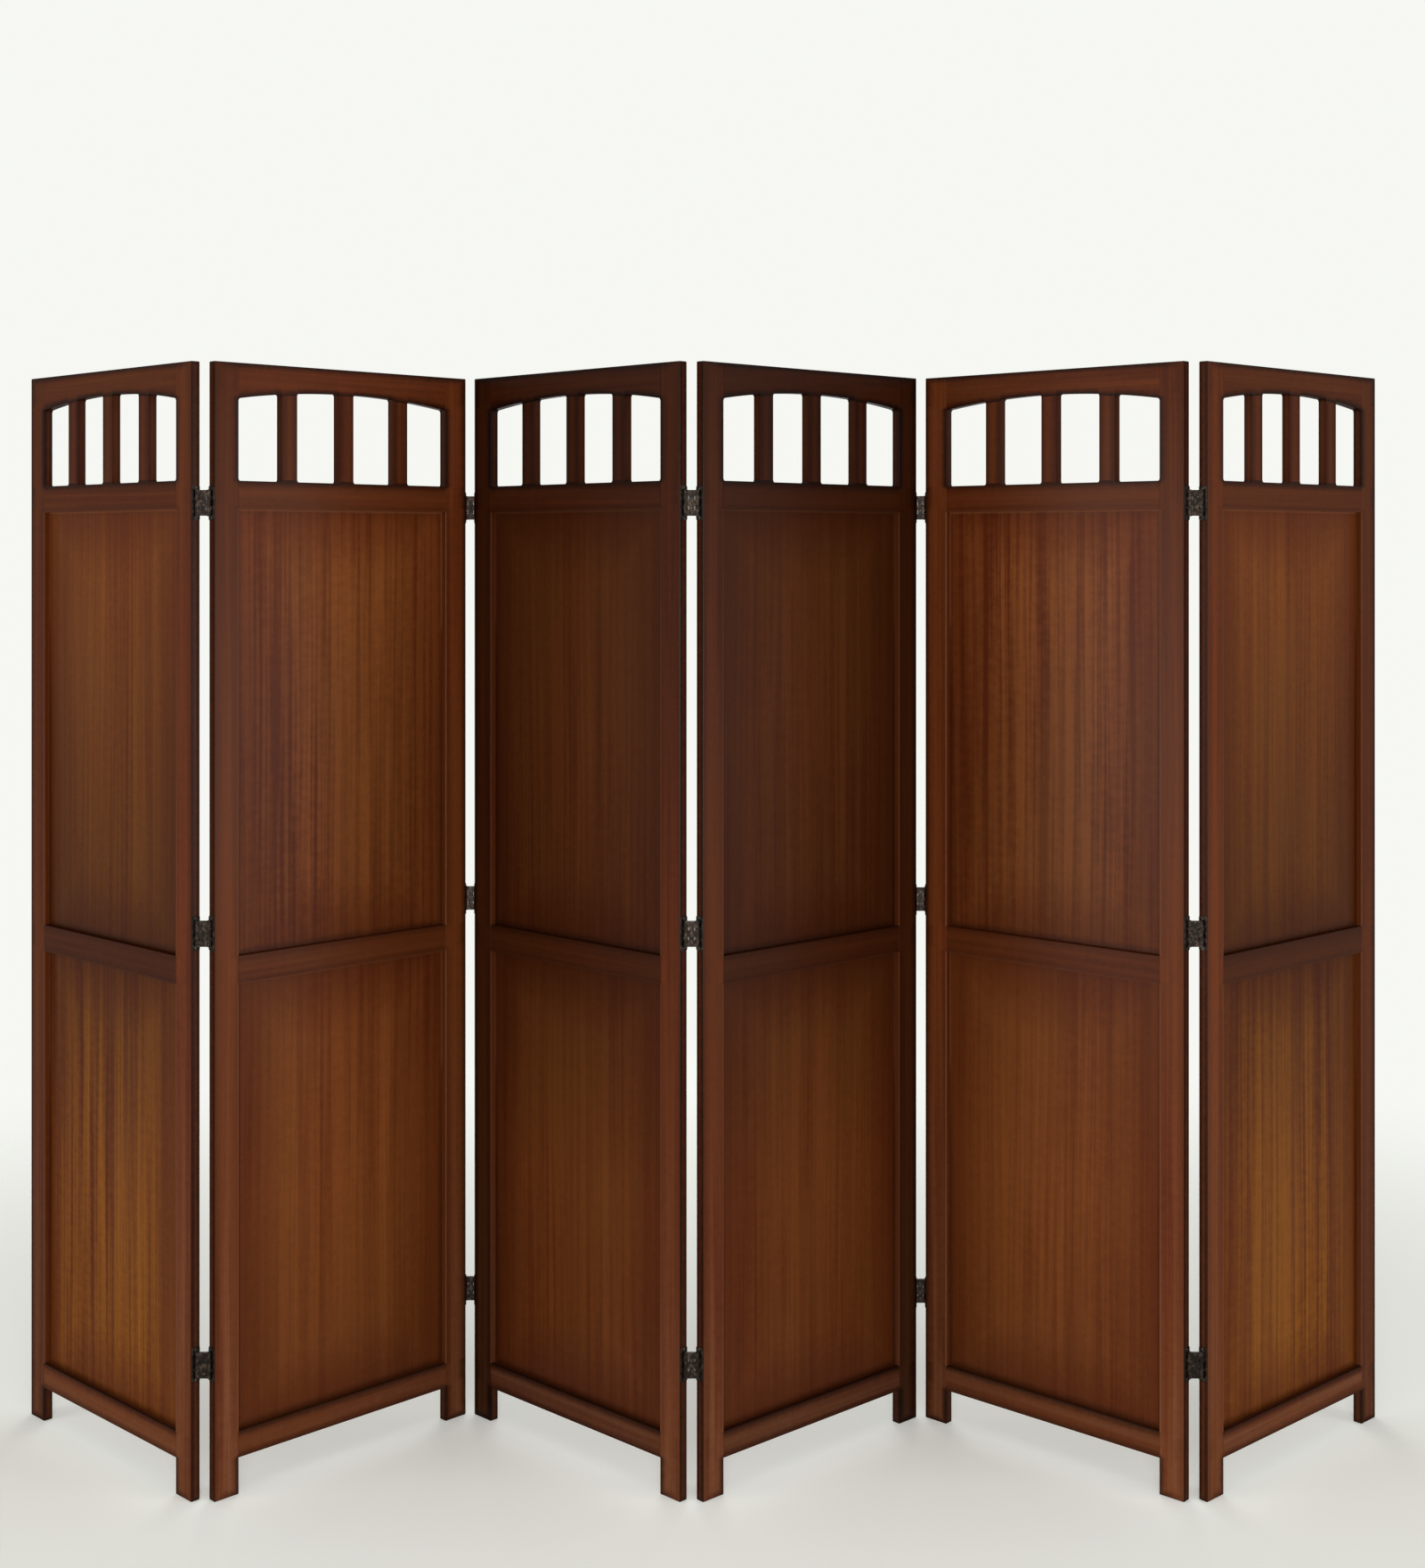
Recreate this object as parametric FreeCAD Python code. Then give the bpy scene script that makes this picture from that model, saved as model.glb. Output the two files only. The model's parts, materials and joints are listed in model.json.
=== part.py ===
import FreeCAD, Part
import math
import os

# A folding room divider of six wooden panels, in millimetres.
# The origin is on the floor under the middle of the screen: +X runs along the screen,
# +Y from the viewer to the back, +Z up. A panel's own frame has x from its left edge,
# y from its middle plane and z from the floor.

# The screen and how it stands
panel_count = 6
panel_width = 500.0
frame_thickness = 16.0
left_fold_degrees = 44.0
right_fold_degrees = 42.0
folds_in_degrees = (
    -left_fold_degrees, left_fold_degrees, -left_fold_degrees,
    right_fold_degrees, -right_fold_degrees, right_fold_degrees,
)
link_heading_degrees = 0.0

# Heights of what lies over one another in a panel, from the floor up
foot_height = 58.0
bottom_rail_height = 42.0
board_opening_height = 711.0
middle_rail_height = 45.0
grille_rail_height = 45.0
window_side_height = 131.0
top_rail_end_height = 57.0
arch_rise = 16.5

# Widths in a panel
stile_width = 44.0
slat_width = 29.0
slat_count = 3
outer_edge_round = 1.5

# Boards and their grooves; the recess is from the frame's front to the boards' faces
board_thickness = 3.0
board_recess = 10.5
board_tongue = 8.0
board_side_clearance = 0.1
board_edge_clearance = 0.6

# Joints of the frame
tenon_thickness = 6.0
tenon_length = 25.0
groove_to_tenon_wall = 1.5
slat_tenon_thickness = 6.0
slat_tenon_length = 10.0
slat_tenon_shoulder = 4.0
mortise_end_clearance = 0.6

# Hinges: where they sit, as shares of the screen's height
hinge_height_shares = (0.12, 0.498, 0.8755)
folded_gap = 1.6
leaf_height = 54.0
leaf_thickness = 1.5
leaf_margin = 1.0
leaf_corner_radius = 2.0
barrel_radius = 3.7
barrel_clearance = 0.4
strap_count = 3
strap_height = 10.0
strap_thickness = 5.0
link_web_thickness = 3.0
knuckle_level_height = 5.4
knuckle_end_clearance = 0.2
pin_radius = 1.5
pin_running_clearance = 0.05
pin_fixed_clearance = 0.01
pin_head_radius = 2.3
pin_head_height = 0.9
pin_head_round = 0.5

# Countersunk screws of the leaves
screw_head_radius = 2.7
screw_head_height = 1.4
screw_shank_radius = 1.25
screw_length = 15.0
screw_tip_length = 3.0
screw_seat_clearance = 0.05
screw_edge_margin = 1.3
screw_slot_width = 0.7
screw_slot_depth = 0.6
cut_overrun = 1.0

# Levels and places that follow from the sizes above
half_thickness = frame_thickness / 2
bottom_rail_top = foot_height + bottom_rail_height
middle_rail_low = bottom_rail_top + board_opening_height
middle_rail_top = middle_rail_low + middle_rail_height
grille_rail_low = middle_rail_top + board_opening_height
grille_rail_top = grille_rail_low + grille_rail_height
arch_spring = grille_rail_top + window_side_height
arch_crown = arch_spring + arch_rise
screen_height = arch_spring + top_rail_end_height
opening_width = panel_width - 2 * stile_width
window_width = (opening_width - slat_count * slat_width) / (slat_count + 1)
inner_left = stile_width
inner_right = panel_width - stile_width
board_middle = board_recess + board_thickness / 2 - half_thickness
groove_width = board_thickness + 2 * board_side_clearance
groove_depth = board_tongue + board_edge_clearance
tenon_shoulder = groove_depth + groove_to_tenon_wall
arch_radius = ((opening_width / 2) ** 2 + arch_rise ** 2) / (2 * arch_rise)
link_length = frame_thickness + folded_gap
pin_offset = leaf_thickness + barrel_clearance + barrel_radius
knuckle_height = knuckle_level_height - 2 * knuckle_end_clearance
level_pitch = strap_height + knuckle_level_height
barrel_zone = strap_count * strap_height + (strap_count - 1) * knuckle_level_height
screw_rise = leaf_height / 2 - screw_edge_margin - screw_head_radius
hinge_heights = [share * screen_height for share in hinge_height_shares]


def vector(x, y, z):
    """Return a point or direction."""
    return FreeCAD.Vector(x, y, z)


def bar(x_limits, y_limits, z_limits):
    """Return a box from its lowest and highest x, y and z."""
    low = vector(x_limits[0], y_limits[0], z_limits[0])
    sizes = [high - start for start, high in (x_limits, y_limits, z_limits)]
    return Part.makeBox(sizes[0], sizes[1], sizes[2], low)


def around(centre, width):
    """Return the two limits of a width that lies evenly about a centre."""
    return (centre - width / 2, centre + width / 2)


def upright_cylinder(radius, x, y, z_limits):
    """Return a vertical cylinder between two heights."""
    return Part.makeCylinder(radius, z_limits[1] - z_limits[0], vector(x, y, z_limits[0]))


def mirrored_to_right(shape):
    """Return a piece of the panel's left edge mirrored to its right edge."""
    return shape.mirror(vector(panel_width / 2, 0, 0), vector(1, 0, 0))


def on_hinged_edges(pieces, has_left, has_right):
    """Return a left edge's pieces for each of the panel's two edges that is hinged."""
    fitted = list(pieces) if has_left else []
    if has_right:
        fitted += [mirrored_to_right(piece) for piece in pieces]
    return fitted


def arch_height(x):
    """Return the height of the top rail's lower edge at a place along the panel."""
    from_middle = x - panel_width / 2
    return arch_crown - arch_radius + math.sqrt(arch_radius ** 2 - from_middle ** 2)


# Wooden frame

bottom_level = (foot_height, bottom_rail_top)
middle_level = (middle_rail_low, middle_rail_top)
grille_level = (grille_rail_low, grille_rail_top)
top_level = (arch_spring, screen_height)
rail_levels = (bottom_level, middle_level, grille_level, top_level)
board_levels = ((bottom_rail_top, middle_rail_low), (middle_rail_top, grille_rail_low))


def tenon_heights(rail_level):
    """Return the lowest and highest z of the tenon on a rail."""
    return (rail_level[0] + tenon_shoulder, rail_level[1] - tenon_shoulder)


def rail_tenons(rail_level):
    """Return the two tenons of a rail as one list."""
    thickness = around(0, tenon_thickness)
    heights = tenon_heights(rail_level)
    left = bar((inner_left - tenon_length, inner_left), thickness, heights)
    right = bar((inner_right, inner_right + tenon_length), thickness, heights)
    return [left, right]


def stile_blank():
    """Return the left stile as a bar whose outer, top and foot edges are rounded."""
    blank = bar((0, stile_width), (-half_thickness, half_thickness), (0, screen_height))
    outside = [edge for edge in blank.Edges if edge.BoundBox.XMin < stile_width / 2]
    return blank.makeFillet(outer_edge_round, outside)


def pilot_hole(z):
    """Return the hole of one leaf screw in the left edge of a panel."""
    radius = screw_shank_radius + screw_seat_clearance
    depth = screw_length - leaf_thickness + mortise_end_clearance
    start = vector(-cut_overrun, 0, z)
    return Part.makeCylinder(radius, depth + cut_overrun, start, vector(1, 0, 0))


def stile(hinged):
    """Return the left stile with its mortises, board grooves and any screw holes."""
    cuts = []
    for level in rail_levels:
        depth = (stile_width - tenon_length - mortise_end_clearance, stile_width + cut_overrun)
        cuts.append(bar(depth, around(0, tenon_thickness), tenon_heights(level)))
    for level in board_levels:
        depth = (stile_width - groove_depth, stile_width + cut_overrun)
        reach = (level[0] - groove_depth, level[1] + groove_depth)
        cuts.append(bar(depth, around(board_middle, groove_width), reach))
    if hinged:
        cuts += [pilot_hole(z) for z in screw_heights()]
    return stile_blank().cut(cuts)


def board_groove(edge_height, direction):
    """Return the groove along a rail's edge; direction is 1 over the edge's rail, -1 under it."""
    ends = sorted((edge_height + direction * cut_overrun, edge_height - direction * groove_depth))
    return bar((inner_left, inner_right), around(board_middle, groove_width), ends)


def straight_rail(rail_level):
    """Return a rail between the stiles with its two tenons."""
    body = bar((inner_left, inner_right), (-half_thickness, half_thickness), rail_level)
    return body.fuse(rail_tenons(rail_level))


def bottom_rail():
    """Return the bottom rail, grooved along its upper edge for the lower board."""
    return straight_rail(bottom_level).cut(board_groove(bottom_rail_top, 1))


def middle_rail():
    """Return the middle rail, grooved along both edges."""
    grooves = [board_groove(middle_rail_low, -1), board_groove(middle_rail_top, 1)]
    return straight_rail(middle_level).cut(grooves)


def slat_limits(index):
    """Return the left and right x of one slat of the grille."""
    left = inner_left + (index + 1) * window_width + index * slat_width
    return (left, left + slat_width)


def slat_tenon(index, z_limits):
    """Return a slat's tenon, or its mortise, between two heights."""
    left, right = slat_limits(index)
    width = (left + slat_tenon_shoulder, right - slat_tenon_shoulder)
    return bar(width, around(0, slat_tenon_thickness), z_limits)


def slat_tenon_top(index):
    """Return the height of the upper end of a slat's tenon."""
    left, right = slat_limits(index)
    return arch_height((left + right) / 2) + slat_tenon_length


def grille_rail():
    """Return the rail under the windows: a groove below, a mortise for each slat above."""
    cuts = [board_groove(grille_rail_low, -1)]
    low = grille_rail_top - slat_tenon_length - mortise_end_clearance
    for index in range(slat_count):
        cuts.append(slat_tenon(index, (low, grille_rail_top + cut_overrun)))
    return straight_rail(grille_level).cut(cuts)


def top_rail_blank():
    """Return the top rail without its joints: a bar with a shallow arch along its lower edge."""
    front = -half_thickness
    spring_left = vector(inner_left, front, arch_spring)
    spring_right = vector(inner_right, front, arch_spring)
    top_right = vector(inner_right, front, screen_height)
    top_left = vector(inner_left, front, screen_height)
    crown = vector(panel_width / 2, front, arch_crown)
    outline = Part.Wire([
        Part.Arc(spring_left, crown, spring_right).toShape(),
        Part.makeLine(spring_right, top_right),
        Part.makeLine(top_right, top_left),
        Part.makeLine(top_left, spring_left),
    ])
    blank = Part.Face(outline).extrude(vector(0, frame_thickness, 0))
    near_top = screen_height - outer_edge_round
    long_top = [
        edge for edge in blank.Edges
        if edge.BoundBox.ZMin > near_top and edge.BoundBox.XLength > opening_width / 2
    ]
    return blank.makeFillet(outer_edge_round, long_top)


def top_rail():
    """Return the top rail with its tenons and the mortises of the slats."""
    mortises = []
    for index in range(slat_count):
        top = slat_tenon_top(index) + mortise_end_clearance
        mortises.append(slat_tenon(index, (arch_spring, top)))
    return top_rail_blank().fuse(rail_tenons(top_level)).cut(mortises)


def slat(index):
    """Return one slat, shouldered to the arch and tenoned at both ends."""
    thickness = (-half_thickness, half_thickness)
    body = bar(slat_limits(index), thickness, (grille_rail_top, arch_crown)).cut(top_rail_blank())
    lower = slat_tenon(index, (grille_rail_top - slat_tenon_length, grille_rail_top))
    upper = slat_tenon(index, (arch_spring, slat_tenon_top(index)))
    return body.fuse([lower, upper])


def board(level):
    """Return one thin board that reaches into the grooves on all four sides."""
    width = (inner_left - board_tongue, inner_right + board_tongue)
    reach = (level[0] - board_tongue, level[1] + board_tongue)
    return bar(width, around(board_middle, board_thickness), reach)


# Hinges

def screw_heights():
    """Return the heights of all the leaf screws along one edge of a panel."""
    return [z + side * screw_rise for z in hinge_heights for side in (-1, 1)]


def seat_cone(x_outer, z, extra):
    """Return the countersink of a screw whose head is flush at x_outer, grown by extra."""
    head = screw_head_radius + extra
    shank = screw_shank_radius + extra
    return Part.makeCone(head, shank, screw_head_height, vector(x_outer, 0, z), vector(1, 0, 0))


def leaf_screw(z):
    """Return a slotted countersunk screw in the left edge of a panel."""
    outer = -leaf_thickness
    along = vector(1, 0, 0)
    shank_start = outer + screw_head_height
    shank_length = screw_length - screw_head_height - screw_tip_length
    shank = Part.makeCylinder(screw_shank_radius, shank_length, vector(shank_start, 0, z), along)
    tip_start = vector(shank_start + shank_length, 0, z)
    tip = Part.makeCone(screw_shank_radius, 0, screw_tip_length, tip_start, along)
    slot = bar(
        (outer - cut_overrun, outer + screw_slot_depth),
        around(0, 2 * screw_head_radius + cut_overrun),
        around(z, screw_slot_width),
    )
    return seat_cone(outer, z, 0).fuse([shank, tip]).cut(slot)


def leaf(z):
    """Return the leaf on the left edge of a panel: a plate with its rolled knuckles."""
    width = frame_thickness - 2 * leaf_margin
    plate = bar((-leaf_thickness, 0), around(0, width), around(z, leaf_height))
    corners = [edge for edge in plate.Edges if edge.BoundBox.XLength > leaf_thickness / 2]
    plate = plate.makeFillet(leaf_corner_radius, corners)
    knuckles = []
    for middle in knuckle_middles(z):
        heights = around(middle, knuckle_height)
        knuckles.append(upright_cylinder(barrel_radius, -pin_offset, 0, heights))
        knuckles.append(bar((-pin_offset, -leaf_thickness), around(0, 2 * barrel_radius), heights))
    bore = upright_cylinder(
        pin_radius + pin_running_clearance, -pin_offset, 0, around(z, leaf_height)
    )
    seats = []
    for side in (-1, 1):
        height = z + side * screw_rise
        radius = screw_shank_radius + screw_seat_clearance
        start = vector(-leaf_thickness, 0, height)
        seats.append(seat_cone(-leaf_thickness, height, screw_seat_clearance))
        seats.append(Part.makeCylinder(radius, leaf_thickness, start, vector(1, 0, 0)))
    return plate.fuse(knuckles).cut([bore] + seats)


def strap_middles(z):
    """Return the middle heights of a hinge's link straps."""
    lowest = z - barrel_zone / 2 + strap_height / 2
    return [lowest + index * level_pitch for index in range(strap_count)]


def knuckle_middles(z):
    """Return the middle heights of the leaf knuckles, which lie between the straps."""
    return [middle + level_pitch / 2 for middle in strap_middles(z)[:-1]]


def strap(middle):
    """Return one link strap, with its left pin's axis at the origin of x."""
    heights = around(middle, strap_height)
    plate = bar((0, link_length), around(0, strap_thickness), heights)
    ends = [upright_cylinder(barrel_radius, x, 0, heights) for x in (0, link_length)]
    bore = pin_radius + pin_fixed_clearance
    bores = [upright_cylinder(bore, x, 0, heights) for x in (0, link_length)]
    return plate.fuse(ends).cut(bores)


def link(z):
    """Return one hinge's link: its straps, joined by a web that stands between the knuckles."""
    from_pin = barrel_radius + barrel_clearance
    width = (from_pin, link_length - from_pin)
    web = bar(width, around(0, link_web_thickness), around(z, barrel_zone))
    return web.fuse([strap(middle) for middle in strap_middles(z)])


def pin_head(x, inner, outer):
    """Return the head of a pin between two heights, rounded at the outer one."""
    head = upright_cylinder(pin_head_radius, x, 0, sorted((inner, outer)))
    rims = [edge for edge in head.Edges if edge.BoundBox.ZLength < pin_head_height / 2]
    outer_rims = [edge for edge in rims if abs(edge.BoundBox.ZMin - outer) < pin_head_height / 2]
    return head.makeFillet(pin_head_round, outer_rims)


def hinge_pin(x, z):
    """Return one hinge pin with a rounded head at either end."""
    low, high = around(z, barrel_zone)
    shank = upright_cylinder(pin_radius, x, 0, (low, high))
    heads = [pin_head(x, low, low - pin_head_height), pin_head(x, high, high + pin_head_height)]
    return shank.fuse(heads)


def link_set():
    """Return the links and pins of the three hinges of one junction."""
    pieces = []
    for z in hinge_heights:
        pieces.append(link(z))
        pieces += [hinge_pin(x, z) for x in (0, link_length)]
    return pieces


# Where the panels and links stand

def heading(degrees):
    """Return the direction along a panel or link that is turned by degrees from +X."""
    angle = math.radians(degrees)
    return vector(math.cos(angle), math.sin(angle), 0)


def walk_the_zigzag():
    """Return each panel's left end and each junction's left pin, starting at panel 1."""
    panel_starts = []
    link_starts = []
    point = vector(0, 0, 0)
    for index, fold in enumerate(folds_in_degrees):
        along = heading(fold)
        if index:
            point = point + along * pin_offset
        panel_starts.append(point)
        left_pin = point + along * (panel_width + pin_offset)
        link_starts.append(left_pin)
        point = left_pin + heading(link_heading_degrees) * link_length
    return panel_starts, link_starts[:-1]


def plan_reach(panel_starts, link_starts):
    """Return all the plan points that can be the screen's outermost ones."""
    points = []
    for start, fold in zip(panel_starts, folds_in_degrees):
        across = heading(fold).cross(vector(0, 0, 1)) * half_thickness
        for end in (start, start + heading(fold) * panel_width):
            points += [end + across, end - across]
    for start in link_starts:
        for pin in (start, start + heading(link_heading_degrees) * link_length):
            for turn in (0, 90, 180, 270):
                points.append(pin + heading(turn) * barrel_radius)
    return points


def middle_of(values):
    """Return the value half way between the lowest and the highest."""
    return (min(values) + max(values)) / 2


def placed(shape, start, degrees):
    """Return a shape turned about the vertical and moved to its place on the floor."""
    copy = shape.copy()
    copy.rotate(vector(0, 0, 0), vector(0, 0, 1), degrees)
    copy.translate(start)
    return copy


def write_node(name, pieces, start, degrees):
    """Write one node, whose pieces stay separate solids."""
    shapes = [placed(piece, start, degrees) for piece in pieces]
    node = shapes[0] if len(shapes) == 1 else Part.makeCompound(shapes)
    for solid in node.Solids:
        if not solid.isValid():
            raise ValueError(name + " holds a solid that is not valid")
    node.exportStep("parts/" + name + ".step")
    print(name, len(node.Solids), round(node.Volume, 1))


def panel_nodes(number):
    """Return the nodes of one panel: their names and their pieces."""
    has_left = number > 1
    has_right = number < panel_count
    leaves = [leaf(z) for z in hinge_heights]
    screws = [leaf_screw(z) for z in screw_heights()]
    return {
        "stiles": [stile(has_left), mirrored_to_right(stile(has_right))],
        "top_rail": [top_rail()],
        "grille_rail": [grille_rail()],
        "middle_rail": [middle_rail()],
        "bottom_rail": [bottom_rail()],
        "slats": [slat(index) for index in range(slat_count)],
        "boards": [board(level) for level in board_levels],
        "hinge_leaves": on_hinged_edges(leaves, has_left, has_right),
        "hinge_screws": on_hinged_edges(screws, has_left, has_right),
    }


def main():
    """Build the whole screen."""
    os.makedirs("parts", exist_ok=True)
    panel_starts, link_starts = walk_the_zigzag()
    reach = plan_reach(panel_starts, link_starts)
    middle = vector(
        middle_of([point.x for point in reach]), middle_of([point.y for point in reach]), 0
    )
    for index, fold in enumerate(folds_in_degrees):
        for name, pieces in panel_nodes(index + 1).items():
            node = "panel_" + str(index + 1) + "_" + name
            write_node(node, pieces, panel_starts[index] - middle, fold)
    for index, start in enumerate(link_starts):
        node = "hinge_" + str(index + 1) + "_" + str(index + 2) + "_links_and_pins"
        write_node(node, link_set(), start - middle, link_heading_degrees)
        print(node, "left pin at", start - middle)


main()
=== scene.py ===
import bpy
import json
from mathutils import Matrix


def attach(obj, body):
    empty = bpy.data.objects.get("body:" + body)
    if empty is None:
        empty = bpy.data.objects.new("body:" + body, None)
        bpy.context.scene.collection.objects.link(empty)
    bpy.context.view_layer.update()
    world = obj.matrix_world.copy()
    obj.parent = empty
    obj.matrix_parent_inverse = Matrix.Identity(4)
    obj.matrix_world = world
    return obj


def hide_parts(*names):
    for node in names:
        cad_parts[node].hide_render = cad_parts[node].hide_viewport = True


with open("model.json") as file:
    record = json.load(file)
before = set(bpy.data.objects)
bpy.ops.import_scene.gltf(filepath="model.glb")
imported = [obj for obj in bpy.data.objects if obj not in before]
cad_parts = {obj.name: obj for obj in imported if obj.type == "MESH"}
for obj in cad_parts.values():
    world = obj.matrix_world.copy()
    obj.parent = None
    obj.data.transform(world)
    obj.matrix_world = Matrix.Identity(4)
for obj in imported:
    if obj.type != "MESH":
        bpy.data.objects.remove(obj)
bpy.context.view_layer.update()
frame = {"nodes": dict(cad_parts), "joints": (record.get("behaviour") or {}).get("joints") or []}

import json
import logging
import math
import zlib
from collections.abc import Callable
from dataclasses import dataclass, field, replace
from enum import Enum

import bmesh
import bpy
from mathutils import Matrix, Vector

LOG = logging.getLogger("folding_screen")
MM = 0.001

ORIGIN = (0.0, 0.0, 0.0)
# Places that are this near to each other, in metres, are the same.
SAME_PLACE = 1e-6
# The share of a piece's half size from which a vertex lies in its face.
IN_FACE = 1 - 1e-5
# The turn, in radians, from which an edge is sharp.
SHARP_TURN = 0.9
# How much the tones of a panel's pieces differ by chance.
TONE_SPREAD = 0.08
TONE_STEPS = 100
# For each axis, how many places the grain can start from and the metres between them.
GRAIN_STARTS = ((97, 0.31), (89, 0.17), (83, 0.23))

Colour = tuple[float, float, float]
Point = tuple[float, float, float]
Limits = tuple[float, float]
Levels = tuple[float, ...]
Profile = Callable[[float], float]
Ease = Callable[[Vector, Vector], Vector]
BurnishAndShade = Callable[[Vector, Vector], float]
Material = bpy.types.Material
Node = bpy.types.Node
Tree = bpy.types.NodeTree
Socket = bpy.types.NodeSocket
Edge = bmesh.types.BMEdge


class Grain(Enum):
    """The way that the grain runs in a piece of wood."""

    UPRIGHT = "upright"
    LEVEL = "level"


class Side(Enum):
    """One of the two upright edges of a panel."""

    LEFT = "left"
    RIGHT = "right"


def painted(*levels: int) -> Colour:
    """Turn a colour as it is seen into the linear values that a shader takes.

    Args:
        levels: Its red, green and blue, from 0 to 255.

    Returns:
        The three linear values.
    """
    shares = (level / 255 for level in levels)
    return tuple(s / 12.92 if s <= 0.04045 else ((s + 0.055) / 1.055) ** 2.4 for s in shares)


def between(levels: Levels, share: float) -> float:
    """Read a value off levels that are spread evenly from 0 to 1.

    Args:
        levels: The values, two or more.
        share: Where to read, from 0 to 1.

    Returns:
        The value there, on straight lines between the levels.
    """
    steps = len(levels) - 1
    index = min(int(share * steps), steps - 1)
    return levels[index] + (levels[index + 1] - levels[index]) * (share * steps - index)


def add_object(name: str, data: bpy.types.ID) -> bpy.types.Object:
    """Put an object into the scene, at the origin.

    Args:
        name: Its name.
        data: Its mesh, light or camera.

    Returns:
        The object.
    """
    added = bpy.data.objects.new(name, data)
    bpy.context.scene.collection.objects.link(added)
    return added


# Shader nodes

class Web:
    """A node tree under construction, with short ways to add and join nodes."""

    # The Mix node's sockets for colours.
    MIX_SHARE = 0
    MIX_COLOURS = (6, 7)
    MIX_RESULT = 2

    def __init__(self, tree: Tree) -> None:
        """Start from an empty tree."""
        self.tree = tree
        self.tree.nodes.clear()

    def add(self, kind: str, tree: Tree | None = None, **inputs: object) -> Node:
        """Add a node and fill or join its inputs.

        Args:
            kind: The node's type name, without its ShaderNode prefix.
            tree: The pattern that a Group node stands for.
            inputs: A value or socket for each named input; spaces are written as underscores.

        Returns:
            The new node.
        """
        known = kind.startswith("NodeGroup")
        node = self.tree.nodes.new(kind if known else "ShaderNode" + kind)
        if tree:
            node.node_tree = tree
        self.feed_all(node, inputs)
        return node

    def feed_all(self, node: Node, inputs: dict[str, object]) -> None:
        """Fill or join a node's named inputs, as add does."""
        for name, value in inputs.items():
            self.feed(node.inputs[name.replace("_", " ")], value)

    def feed(self, socket: Socket, value: object) -> None:
        """Fill or join one input.

        Args:
            socket: The input.
            value: The value that it takes, or a socket to join it to.
        """
        if isinstance(value, Socket):
            self.tree.links.new(value, socket)
        else:
            socket.default_value = value

    def reading(self, attribute: str, kind: str = "Fac") -> Socket:
        """Read one of a piece's attributes.

        Args:
            attribute: Its name.
            kind: Fac for a number, or Vector for a place.

        Returns:
            The attribute's socket.
        """
        node = self.add("Attribute")
        node.attribute_name = attribute
        return node.outputs[kind]

    def maths(
        self, operation: str, *values: object, clamp: bool = False, kind: str = "Math"
    ) -> Socket:
        """Work out one number or vector from up to three.

        Args:
            operation: The name of the sum, such as MULTIPLY.
            values: The values or sockets that it takes.
            clamp: Whether the result is kept from 0 to 1.
            kind: Math for a number, or VectorMath for a vector or a vector's length.

        Returns:
            The result's socket.
        """
        node = self.add(kind)
        node.operation = operation
        if clamp:
            node.use_clamp = True
        for socket, value in zip(node.inputs, values):
            self.feed(socket, value)
        is_number = kind == "Math" or operation == "LENGTH"
        return node.outputs["Value" if is_number else "Vector"]

    def vector(self, operation: str, *values: object) -> Socket:
        """Work out a vector, or the length of one, as maths does for numbers."""
        return self.maths(operation, *values, kind="VectorMath")

    def fade(
        self, value: Socket, start: object, end: object, low: float = 0.0, high: float = 1.0
    ) -> Socket:
        """Pass smoothly from one level to another as a value goes from start to end.

        Args:
            value: The number that is looked at.
            start: Where the change starts.
            end: Where the change ends.
            low: The result up to the start.
            high: The result from the end.

        Returns:
            The result's socket.
        """
        node = self.add(
            "MapRange", Value=value, From_Min=start, From_Max=end, To_Min=low, To_Max=high
        )
        node.interpolation_type = "SMOOTHSTEP"
        return node.outputs["Result"]

    def mixed(self, share: object, first: object, second: object, way: str = "MIX") -> Socket:
        """Mix two colours.

        Args:
            share: How much of the second there is, from 0 to 1.
            first: The first colour.
            second: The second colour.
            way: How the second is laid over the first.

        Returns:
            The mixed colour's socket.
        """
        node = self.add("Mix")
        node.data_type = "RGBA"
        node.blend_type = way
        self.feed(node.inputs[self.MIX_SHARE], share)
        for index, colour in zip(self.MIX_COLOURS, (first, second)):
            opaque = (*colour, 1.0) if isinstance(colour, tuple) else colour
            self.feed(node.inputs[index], opaque)
        return node.outputs[self.MIX_RESULT]


def new_material(name: str) -> tuple[Material, Web]:
    """Start a material.

    Args:
        name: Its name.

    Returns:
        The material and its empty web of nodes.
    """
    material = bpy.data.materials.new(name)
    material.use_nodes = True
    return material, Web(material.node_tree)


def new_group(
    name: str, inputs: dict[str, object], outputs: tuple[str, ...]
) -> tuple[Web, Node, Node]:
    """Start a node group with named sockets.

    Args:
        name: The group's name.
        inputs: The usual value of each input, a number or a vector.
        outputs: The outputs, each a number.

    Returns:
        The group's web of nodes, its input node and its output node.
    """
    tree = bpy.data.node_groups.new(name, "ShaderNodeTree")
    for label, value in inputs.items():
        kind = "NodeSocketVector" if isinstance(value, tuple) else "NodeSocketFloat"
        socket = tree.interface.new_socket(label, in_out="INPUT", socket_type=kind)
        socket.default_value = value
    for label in outputs:
        tree.interface.new_socket(label, in_out="OUTPUT", socket_type="NodeSocketFloat")
    web = Web(tree)
    return web, web.add("NodeGroupInput"), web.add("NodeGroupOutput")


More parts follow.
